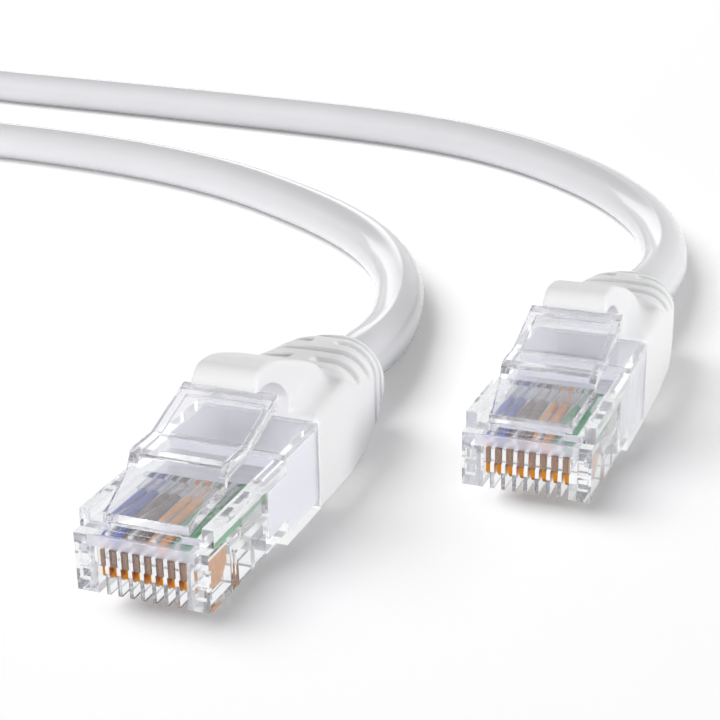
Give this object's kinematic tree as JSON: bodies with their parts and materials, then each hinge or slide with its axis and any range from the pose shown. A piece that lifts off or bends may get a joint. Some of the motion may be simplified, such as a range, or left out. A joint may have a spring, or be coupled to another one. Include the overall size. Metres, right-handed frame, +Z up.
{
  "type": "ethernet patch cable",
  "caption": "Network patch lead: round white cable with a clear eight-way modular plug at each end, spring latches under snagless boot hoods, middle coiled flat.",
  "frame": {"origin": "on the surface that the lead lies on, midway between the two plugs", "axes": "+Z up; +Y along the plugs, from their contact faces towards their boots; +X to the right seen from the contact faces, towards the plug that stands further back"},
  "size_m": [0.2289, 0.1727, 0.0147],
  "materials": {
    "clear_plug": "clear polycarbonate, smooth moulded surface",
    "clear_latch": "clear polycarbonate, smooth moulded surface",
    "clear_guide": "clear polycarbonate, slightly cloudy",
    "milky_seat": "milky translucent polyethylene",
    "gold_contact": "gold-plated phosphor bronze, bright",
    "white_boot": "white soft PVC, satin moulded surface",
    "white_jacket": "white PVC cable jacket, satin",
    "wire_white_blue": "polyethylene insulation, satin",
    "wire_blue": "polyethylene insulation, satin",
    "wire_white_brown": "polyethylene insulation, satin",
    "wire_brown": "polyethylene insulation, satin",
    "wire_white_orange": "polyethylene insulation, satin",
    "wire_orange": "polyethylene insulation, satin",
    "wire_white_green": "polyethylene insulation, satin",
    "wire_green": "polyethylene insulation, satin"
  },
  "bodies": {
    "lead": {"plug_housing_a": "clear_plug", "plug_housing_b": "clear_plug", "wire_guide_a": "clear_guide", "wire_guide_b": "clear_guide", "cable_seat_a": "milky_seat", "cable_seat_b": "milky_seat", "cable_end_a": "white_jacket", "cable_end_b": "white_jacket", "boot_a": "white_boot", "boot_b": "white_boot", "contact_a1": "gold_contact", "contact_a2": "gold_contact", "contact_a3": "gold_contact", "contact_a4": "gold_contact", "contact_a5": "gold_contact", "contact_a6": "gold_contact", "contact_a7": "gold_contact", "contact_a8": "gold_contact", "contact_b1": "gold_contact", "contact_b2": "gold_contact", "contact_b3": "gold_contact", "contact_b4": "gold_contact", "contact_b5": "gold_contact", "contact_b6": "gold_contact", "contact_b7": "gold_contact", "contact_b8": "gold_contact", "conductor_a1": "wire_white_blue", "conductor_a2": "wire_blue", "conductor_a3": "wire_white_brown", "conductor_a4": "wire_brown", "conductor_a5": "wire_white_orange", "conductor_a6": "wire_orange", "conductor_a7": "wire_white_green", "conductor_a8": "wire_green", "conductor_b1": "wire_white_blue", "conductor_b2": "wire_blue", "conductor_b3": "wire_white_brown", "conductor_b4": "wire_brown", "conductor_b5": "wire_white_orange", "conductor_b6": "wire_orange", "conductor_b7": "wire_white_green", "conductor_b8": "wire_green", "cable_run_a": "white_jacket", "cable_run_b": "white_jacket", "cable_coil": "white_jacket"},
    "boot_hood_a": {"boot_hood_a": "white_boot"},
    "latch_a": {"latch_a": "clear_latch"},
    "boot_hood_b": {"boot_hood_b": "white_boot"},
    "latch_b": {"latch_b": "clear_latch"}
  },
  "joints": [
    {"name": "hood_a_press", "type": "hinge", "parent": "lead", "child": "boot_hood_a", "pos_m": [-0.0113, -0.01159, 0.012], "axis": [1, 0, 0], "range_deg": [0, 18], "stiffness_Nm_per_rad": 0.005},
    {"name": "latch_a_press", "type": "hinge", "parent": "lead", "child": "latch_a", "pos_m": [-0.0113, -0.03265, 0.007], "axis": [-1, 0, 0], "range_deg": [0, 10], "stiffness_Nm_per_rad": 0.01},
    {"name": "hood_b_press", "type": "hinge", "parent": "lead", "child": "boot_hood_b", "pos_m": [0.0113, 0.01641, 0.012], "axis": [1, 0, 0], "range_deg": [0, 18], "stiffness_Nm_per_rad": 0.005},
    {"name": "latch_b_press", "type": "hinge", "parent": "lead", "child": "latch_b", "pos_m": [0.0113, -0.00465, 0.007], "axis": [-1, 0, 0], "range_deg": [0, 10], "stiffness_Nm_per_rad": 0.01}
  ],
  "couplings": [
    {"joint": "latch_a_press", "follows": "hood_a_press", "ratio": 0.55},
    {"joint": "latch_b_press", "follows": "hood_b_press", "ratio": 0.55}
  ]
}
